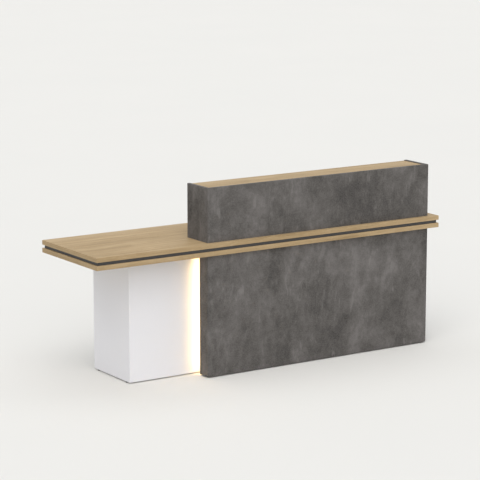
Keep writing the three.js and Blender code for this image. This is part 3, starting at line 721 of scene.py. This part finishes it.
# --------------------------------------------------------------- door hinges
def butt_hinge(which, z):
    x, y, r = -827.5, 246.5, 3.2
    top, end = z + 50.0, 15.0
    axis = Matrix.Translation((x, y, 0))

    def barrel(bm, a, b):
        revolve(bm, [(0, a), (r - 0.35, a), (r, a + 0.35), (r, b - 0.35), (r - 0.35, b), (0, b)], axis, 40)

    bm = bmesh.new()
    slab(bm, (-829.0, 221.0, z), (-827.8, 243.6, top), 0.25)
    for a, b in ((z, z + end), (top - end, top)):
        barrel(bm, a, b)
        slab(bm, (-829.0, 238.0, a), (-827.8, 246.4, b), 0.2)
    for a, s in ((z, -1), (top, 1)):
        revolve(bm, [(0, a - s * 0.5), (2.3, a - s * 0.5), (2.3, a), (2.0, a + s * 0.5), (1.2, a + s * 0.8), (0, a + s * 0.9)], axis, 32)
    revolve(bm, [(0, z + end - 1), (1.5, z + end - 1), (1.5, top - end + 1), (0, top - end + 1)], axis, 24)
    for dz in (10.0, 25.0, 40.0):
        screw_head(bm, (-827.85, 230.0, z + dz), (1, 0, 0), 2.6, 0.22)
    finish_piece(f"door_hinge_{which}_frame_leaf", bm, "desk", "satin_steel", (f"door_hinge_{which}_fixed",))

    bm = bmesh.new()
    slab(bm, (-827.2, 221.0, z), (-826.0, 243.6, top), 0.25)
    a, b = z + end + 0.3, top - end - 0.3
    revolve(bm, [(1.75, a), (r - 0.35, a), (r, a + 0.35), (r, b - 0.35), (r - 0.35, b), (1.75, b)], axis, 40, closed=True)
    slab(bm, (-827.2, 238.0, a), (-826.0, 244.6, b), 0.2)
    for dz in (10.0, 25.0, 40.0):
        screw_head(bm, (-827.15, 230.0, z + dz), (-1, 0, 0), 2.6, 0.22)
    finish_piece(f"door_hinge_{which}_door_leaf", bm, "door", "satin_steel", (f"door_hinge_{which}_leaf",))


butt_hinge("lower", 120.0)
butt_hinge("upper", 418.0)

# ------------------------------------------------------ drawer: rim and beads
bm = bmesh.new()
rim = rounded(
    [(-815.25, -84.25, 638), (-410.75, -84.25, 638), (-410.75, 224.25, 638), (-815.25, 224.25, 638)], 5.0, 8, loop=True
)
sweep(bm, rim, 1.5, 16, loop=True)
for i in range(5):
    x = -756.0 + i * 71.5
    sections = []
    for t in range(25):
        s = t / 24.0
        lift = min(1.0, math.sin(math.pi * s) * 5.0)
        sections.append((-45.0 + 230.0 * s, max(0.02, lift)))
    rows = []
    for y, lift in sections:
        rows.append(
            [bm.verts.new((x + 6.0 * lift * math.cos(math.pi * k / 12), y, 549.45 + 1.3 * lift * math.sin(math.pi * k / 12))) for k in range(13)]
        )
    for a, b in zip(rows, rows[1:]):
        for k in range(12):
            bm.faces.new((a[k], a[k + 1], b[k + 1], b[k]))
        bm.faces.new((a[12], a[0], b[0], b[12]))
    bm.faces.new(rows[0])
    bm.faces.new(list(reversed(rows[-1])))
finish_piece("drawer_tray_rim_and_beads", bm, "drawer", "drawer_steel")

# ------------------------------------------------------------------ fasteners
bm = bmesh.new()
for corner, side in ((-412.0, 1), (1052.0, -1)):
    for y in (-170.0, -150.0):
        screw_head(bm, (corner + side * 15, y, 752.0), (0, 0, 1))
        screw_head(bm, (corner + side * 2, y, 765.0), (side, 0, 0))
for y in (110.0, 130.0):
    screw_head(bm, (1019.0, y, 680.0), (0, 0, -1))
    screw_head(bm, (1032.0, y, 667.0), (-1, 0, 0))
for x in (-336.0, -164.0):
    screw_head(bm, (x, -121.5, 630.0), (0, 1, 0), 3.3, 1.9)
finish_piece("bracket_screws", bm, "desk", "zinc_steel")

# Caps over the screws that hold the pedestal's shelves to the partition.
bm = bmesh.new()
for z in (69.0, 526.0, 673.0):
    for y in (-75.0, 180.0):
        cap = [(0, -0.2), (5.8, -0.2), (6.2, 0.05), (6.2, 0.35), (5.7, 0.8), (4.2, 1.05), (0, 1.1)]
        revolve(bm, cap, frame_at((-379.0, y, z), (1, 0, 0)), 40)
finish_piece("screw_caps", bm, "desk", "white_melamine")

# ------------------------------------------------------- light: driver details
bm = bmesh.new()
for i in range(15):
    x = -266.0 + i * 5.6
    slab(bm, (x, -96.4, 617.0), (x + 2.4, -95.0, 643.0), 0.55, 3)
slab(bm, (-184.0 + 2, -96.4, 616.0), (-178.6, -95.5, 644.0), 0.3, 2)


def frame_ring(bm, half_out, half_in, centre, y0, y1):
    """A rectangular bezel with rounded corners, facing +Y."""
    cx, cz = centre

    def loop(hx, hz, r, y):
        pts = rounded([(cx - hx, y, cz - hz), (cx + hx, y, cz - hz), (cx + hx, y, cz + hz), (cx - hx, y, cz + hz)], r, 6, loop=True)
        return [bm.verts.new(p) for p in pts]

    ox, oz = half_out
    ix, iz = half_in
    rings = [
        loop(ox, oz, 2.0, y0), loop(ox, oz, 2.0, y1 - 0.5), loop(ox - 0.2, oz - 0.2, 1.8, y1 - 0.15),
        loop(ox - 0.55, oz - 0.55, 1.5, y1), loop(ix + 0.3, iz + 0.3, 0.7, y1), loop(ix, iz, 0.5, y1 - 0.4), loop(ix, iz, 0.5, y0),
    ]
    n = len(rings[0])
    for a, b in list(zip(rings, rings[1:])) + [(rings[-1], rings[0])]:
        for i in range(n):
            j = (i + 1) % n
            bm.faces.new((a[i], a[j], b[j], b[i]))


frame_ring(bm, (13.0, 9.6), (10.6, 7.4), (-295.0, 630.0), -96.2, -94.8)
relief = [(0, 0.2), (3.6, 0.2), (3.6, 1.6)]
for k in range(4):
    h = 1.6 + k * 2.0
    relief += [(3.3 - 0.25 * k, h + 0.2), (2.7 - 0.15 * k, h + 0.6), (2.7 - 0.15 * k, h + 1.3), (3.15 - 0.25 * k, h + 1.7)]
relief += [(2.2, 10.2), (1.9, 11.0), (0, 11.0)]
revolve(bm, relief, frame_at((-330.0, -110.0, 630.0), (-1, 0, 0)), 40)
finish_piece("driver_fins_bezel_and_gland", bm, "desk", "black_plastic", (), 40)


def centripetal(points, per=10):
    """Points on the smooth curve through the given ones."""
    p = [Vector(q) for q in points]
    p = [p[0] * 2 - p[1]] + p + [p[-1] * 2 - p[-2]]
    out = []
    for i in range(1, len(p) - 2):
        p0, p1, p2, p3 = p[i - 1], p[i], p[i + 1], p[i + 2]
        t0 = 0.0
        t1 = t0 + max(1e-4, (p1 - p0).length) ** 0.5
        t2 = t1 + max(1e-4, (p2 - p1).length) ** 0.5
        t3 = t2 + max(1e-4, (p3 - p2).length) ** 0.5
        for k in range(per):
            t = t1 + (t2 - t1) * k / per
            a1 = p0 * ((t1 - t) / (t1 - t0)) + p1 * ((t - t0) / (t1 - t0))
            a2 = p1 * ((t2 - t) / (t2 - t1)) + p2 * ((t - t1) / (t2 - t1))
            a3 = p2 * ((t3 - t) / (t3 - t2)) + p3 * ((t - t2) / (t3 - t2))
            b1 = a1 * ((t2 - t) / (t2 - t0)) + a2 * ((t - t0) / (t2 - t0))
            b2 = a2 * ((t3 - t) / (t3 - t1)) + a3 * ((t - t1) / (t3 - t1))
            out.append(b1 * ((t2 - t) / (t2 - t1)) + b2 * ((t - t1) / (t2 - t1)))
    return out + [p[-2]]


LEAD = [
    (-330.3, -110, 630), (-344, -110, 630), (-357, -117, 630), (-362, -133, 630), (-366, -153, 636), (-380, -168, 655),
    (-396, -178, 667), (-407.5, -185.4, 665), (-411.5, -186.9, 655), (-411.5, -186.9, 646.5),
]
bm = bmesh.new()
sweep(bm, centripetal(LEAD, 9), 1.5, 16)
finish_piece("led_lead_sheath", bm, "desk", "black_plastic", ("led_lead",), 50)


# ----------------------------------------------------------------- rocker
def rocker_piece():
    tilt = Matrix.Translation((-295, -100, 630)) @ Matrix.Rotation(math.radians(8), 4, "Z")
    dish = lambda x: 4.45 + 0.9 * (x / 9.4) ** 2
    section = [(-4, -4.9), (4, -4.9), (9.0, 1.2), (9.35, 1.9), (9.4, 4.9), (9.1, 5.25)]
    section += [(8.6 - 17.2 * i / 24, dish(8.6 - 17.2 * i / 24)) for i in range(25)]
    section += [(-9.1, 5.25), (-9.4, 4.9), (-9.35, 1.9), (-9.0, 1.2)]
    section = [Vector(p) for p in section]
    bm = bmesh.new()
    levels = [(0.45, -7.1), (0.12, -6.95), (0.0, -6.6), (0.0, 6.6), (0.12, 6.95), (0.45, 7.1)]
    stacked(bm, [[tilt @ Vector((p.x, p.y, z)) for p in (inset(section, d) if d else section)] for d, z in levels])
    finish_piece("rocker_button", bm, "rocker", "switch_plastic", ("led_rocker",), 30)

    bm = bmesh.new()

    def on_dish(x, z, lift):
        return tilt @ Vector((x, dish(x) + lift, z))

    # A bar at one end and a ring at the other: on and off.
    loops = []
    for lift, shrink in ((-0.1, 0.0), (0.16, 0.0), (0.22, 0.1)):
        hx, hz = 0.45 - shrink, 2.2 - shrink
        loops.append([on_dish(5.6 + sx * hx, sz * hz, lift) for sx, sz in ((-1, -1), (1, -1), (1, 1), (-1, 1))])
    stacked(bm, loops)
    rings = []
    for r, lift in ((2.2, -0.1), (2.2, 0.16), (2.1, 0.22), (1.5, 0.22), (1.4, 0.16), (1.4, -0.1)):
        rings.append([bm.verts.new(on_dish(-5.6 + r * math.cos(2 * math.pi * i / 32), r * math.sin(2 * math.pi * i / 32), lift)) for i in range(32)])
    for a, b in list(zip(rings, rings[1:])) + [(rings[-1], rings[0])]:
        for i in range(32):
            j = (i + 1) % 32
            bm.faces.new((a[i], a[j], b[j], b[i]))
    finish_piece("rocker_marks", bm, "rocker", "black_plastic", (), 30)


rocker_piece()


# ------------------------------------------------------------ floor and light
def make_floor():
    g = Graph("floor")
    v = g.place
    soft = g.noise(v, 0.7, 2.0, 0.5)
    fine = g.noise(v, 60.0, 3.0, 0.5)
    colour = g.ramp(soft, [(0.3, (0.750, 0.743, 0.703)), (0.7, (0.758, 0.749, 0.708))])
    g.set(Base_Color=colour, Roughness=g.span(fine, 0.3, 0.7, 0.52, 0.60))
    g.surface.inputs["Specular IOR Level"].default_value = 0.003
    mesh = bpy.data.meshes.new("floor")
    half = 300.0
    mesh.from_pydata([(-half, -half, 0), (half, -half, 0), (half, half, 0), (-half, half, 0)], [], [(0, 1, 2, 3)])
    floor = bpy.data.objects.new("floor", mesh)
    floor.location.z = -0.0002
    SCENE.collection.objects.link(floor)
    paint(floor, g.material)


make_floor()

world = bpy.data.worlds.new("studio")
SCENE.world = world
world.use_nodes = True
tree = world.node_tree
sky = tree.nodes["Background"]
sky.inputs["Color"].default_value = (0.94, 0.98, 1.08, 1.0)
sky.inputs["Strength"].default_value = 0.42
# Past the edge of the floor the studio is as pale as the floor.
far = tree.nodes.new("ShaderNodeBackground")
far.inputs["Color"].default_value = (0.863, 0.855, 0.823, 1.0)
far.inputs["Strength"].default_value = 1.0
ray = tree.nodes.new("ShaderNodeLightPath")
pick = tree.nodes.new("ShaderNodeMixShader")
either = tree.nodes.new("ShaderNodeMath")
either.operation = "MAXIMUM"
tree.links.new(ray.outputs["Is Camera Ray"], either.inputs[0])
tree.links.new(ray.outputs["Is Glossy Ray"], either.inputs[1])
tree.links.new(either.outputs[0], pick.inputs[0])
tree.links.new(sky.outputs[0], pick.inputs[1])
tree.links.new(far.outputs[0], pick.inputs[2])
tree.links.new(pick.outputs[0], tree.nodes["World Output"].inputs["Surface"])


def sun(name, toward, strength, angle, colour=(1.0, 1.0, 1.0)):
    data = bpy.data.lights.new(name, "SUN")
    data.energy = strength
    data.angle = math.radians(angle)
    data.color = colour
    lamp = bpy.data.objects.new(name, data)
    lamp.rotation_mode = "QUATERNION"
    lamp.rotation_quaternion = Vector(toward).to_track_quat("-Z", "Y")
    SCENE.collection.objects.link(lamp)


# A broad soft light overhead and a soft one from the visitor's side.
sun("overhead_light", (0.0, 0.05, -1.0), 1.32, 85, (1.0, 0.995, 0.98))
sun("front_light", (0.42, 0.66, -0.62), 1.75, 70, (1.0, 0.970, 0.962))

# ---------------------------------------------------------------------- camera
FOCAL = 2143.136 / 480.0 * 36.0
YAW, PITCH = 0.58094, 0.19295
lens = bpy.data.cameras.new("camera")
lens.sensor_width = 36.0
lens.lens = FOCAL
lens.clip_start, lens.clip_end = 0.1, 1000.0
camera = bpy.data.objects.new("camera", lens)
SCENE.collection.objects.link(camera)
camera.location = (-6.49399, -9.82624, 2.97901)
ahead = Vector((math.sin(YAW) * math.cos(PITCH), math.cos(YAW) * math.cos(PITCH), -math.sin(PITCH)))
camera.rotation_mode = "QUATERNION"
camera.rotation_quaternion = ahead.to_track_quat("-Z", "Y")
SCENE.camera = camera

SCENE.view_settings.view_transform = "Standard"
SCENE.view_settings.look = "None"
SCENE.view_settings.exposure = 0.0
SCENE.view_settings.gamma = 1.0
